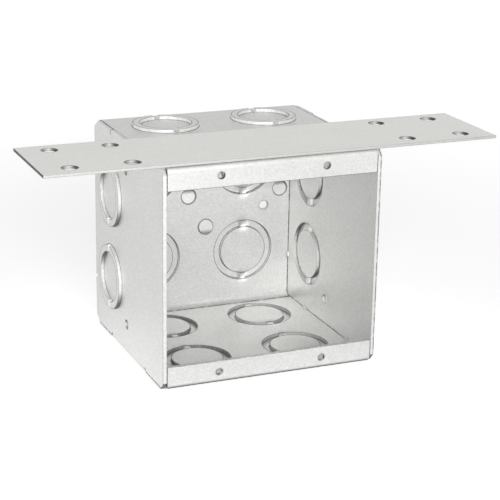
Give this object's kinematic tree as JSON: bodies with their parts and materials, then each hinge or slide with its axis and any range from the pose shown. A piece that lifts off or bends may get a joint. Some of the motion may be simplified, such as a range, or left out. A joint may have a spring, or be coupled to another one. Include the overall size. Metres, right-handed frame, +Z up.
{
  "type": "masonry box",
  "caption": "Galvanised steel two-gang masonry box, open at the front, with concentric knockouts and a flat mounting bar across its top.",
  "frame": {"origin": "centre of the bounding box's footprint, at the level of the floor knockout rings that the box stands on", "axes": "+X along the mounting bar to the right as seen from the open front, +Y from the open front to the back wall, +Z up"},
  "size_m": [0.1968, 0.0904, 0.0967],
  "materials": {
    "galvanised_sheet": "galvanised steel sheet, bright and finely grained",
    "galvanised_bar": "galvanised steel strip, matte"
  },
  "bodies": {
    "root": {"box_wrap": "galvanised_sheet", "left_end_plate": "galvanised_sheet", "right_end_plate": "galvanised_sheet", "mounting_bar": "galvanised_bar"}
  },
  "joints": []
}
